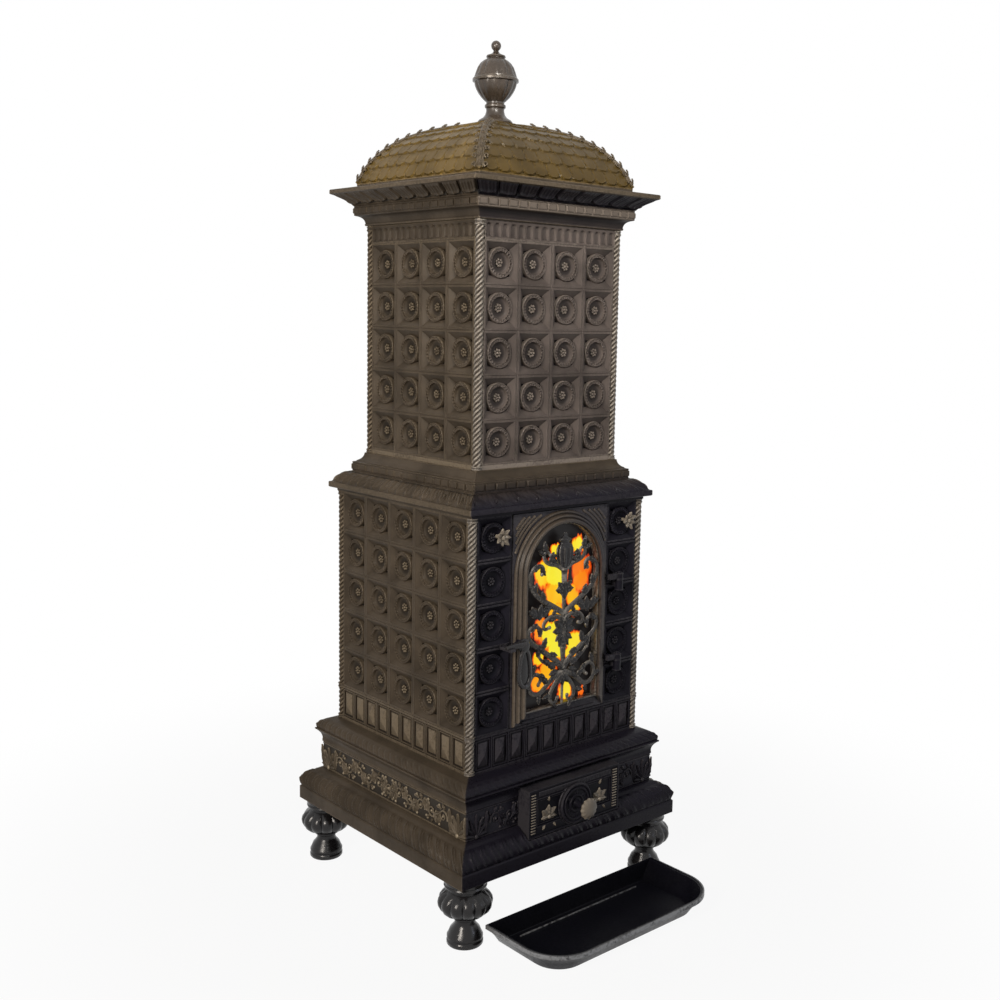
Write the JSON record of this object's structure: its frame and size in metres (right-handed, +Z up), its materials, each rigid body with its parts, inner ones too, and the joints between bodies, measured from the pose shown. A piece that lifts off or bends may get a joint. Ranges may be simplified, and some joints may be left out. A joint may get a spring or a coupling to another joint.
{
  "type": "tiled stove",
  "caption": "Tall cast-iron room stove of tiled panels on turned feet, with a glazed fire door, an ash drawer, a domed lid with a finial and a loose hearth tray.",
  "frame": {"origin": "on the floor under the middle of the stove's tower", "axes": "+Z up, the fire door faces -Y, +X to the right of someone who faces the door"},
  "size_m": [0.609, 0.792, 1.757],
  "materials": {
    "casing_iron": "black graphite stove polish over cast iron, brighter on worn edges",
    "roof_iron": "stove-polished cast iron with a golden-brown sheen",
    "door_iron": "black graphite stove polish over cast iron",
    "hearth_iron": "bare cast iron, dull and sooty",
    "tray_iron": "black cast iron with a bright worn rim",
    "sheet_steel": "dull sheet steel",
    "steel_fasteners": "oiled steel",
    "firebrick": "matt buff firebrick",
    "mica": "amber mica pane"
  },
  "bodies": {
    "stove_body": {"foot_front_left": "casing_iron", "foot_front_right": "casing_iron", "foot_rear_left": "casing_iron", "foot_rear_right": "casing_iron", "foot_nuts": "steel_fasteners", "plinth": "casing_iron", "base_frieze_front": "casing_iron", "base_frieze_left": "casing_iron", "base_frieze_right": "casing_iron", "base_frieze_rear": "casing_iron", "base_cap": "casing_iron", "ash_pit_floor": "hearth_iron", "drawer_runners": "steel_fasteners", "hearth_plate": "hearth_iron", "fire_grate": "hearth_iron", "firebrick_left": "firebrick", "firebrick_right": "firebrick", "firebrick_rear": "firebrick", "lower_panel_left": "casing_iron", "lower_panel_right": "casing_iron", "lower_panel_rear": "casing_iron", "lower_frieze": "casing_iron", "front_pier_left": "casing_iron", "front_pier_right": "casing_iron", "door_frame": "casing_iron", "tie_rods": "steel_fasteners", "mid_cornice": "casing_iron", "smoke_baffle": "hearth_iron", "upper_panel_front": "casing_iron", "upper_panel_left": "casing_iron", "upper_panel_right": "casing_iron", "upper_panel_rear": "casing_iron", "lower_column_front_left": "casing_iron", "upper_column_front_left": "casing_iron", "lower_column_front_right": "casing_iron", "upper_column_front_right": "casing_iron", "lower_column_rear_left": "casing_iron", "upper_column_rear_left": "casing_iron", "lower_column_rear_right": "casing_iron", "upper_column_rear_right": "casing_iron", "flue_collar": "casing_iron", "flue_collar_bolts": "steel_fasteners", "hinge_brackets": "door_iron", "latch_keeper": "door_iron"},
    "crown_lid": {"crown_cornice": "casing_iron", "roof_dome": "roof_iron", "finial_base": "casing_iron", "finial_top": "casing_iron", "finial_rod": "steel_fasteners"},
    "fire_door": {"door_plate": "door_iron", "door_grille": "door_iron", "mica_panes": "mica", "mica_retainer": "door_iron"},
    "door_handle": {"latch_handle": "door_iron", "handle_washer": "steel_fasteners"},
    "ash_drawer": {"ash_drawer_front": "casing_iron", "ash_pan": "sheet_steel", "regulator_screw": "steel_fasteners"},
    "air_regulator": {"air_regulator": "casing_iron"},
    "hearth_tray": {"hearth_tray": "tray_iron"}
  },
  "joints": [
    {"name": "fire_door_hinge", "type": "hinge", "parent": "stove_body", "child": "fire_door", "pos_m": [0.151, -0.246, 0.607], "axis": [0, 0, 1], "range_deg": [0, 110]},
    {"name": "latch_turn", "type": "hinge", "parent": "fire_door", "child": "door_handle", "pos_m": [-0.114, -0.2553, 0.564], "axis": [0, 1, 0], "range_deg": [0, 40]},
    {"name": "ash_drawer_slide", "type": "slide", "parent": "stove_body", "child": "ash_drawer", "axis": [0, -1, 0], "range_m": [0, 0.3]},
    {"name": "air_regulator_turn", "type": "hinge", "parent": "ash_drawer", "child": "air_regulator", "pos_m": [0, -0.29, 0.22675], "axis": [0, -1, 0], "range_deg": [0, 30]},
    {"name": "crown_lid_lift", "type": "slide", "parent": "stove_body", "child": "crown_lid", "axis": [0, 0, 1], "range_m": [0, 0.08]},
    {"name": "hearth_tray_slide", "type": "slide", "parent": "stove_body", "child": "hearth_tray", "axis": [0, -1, 0], "range_m": [0, 0.25]}
  ]
}
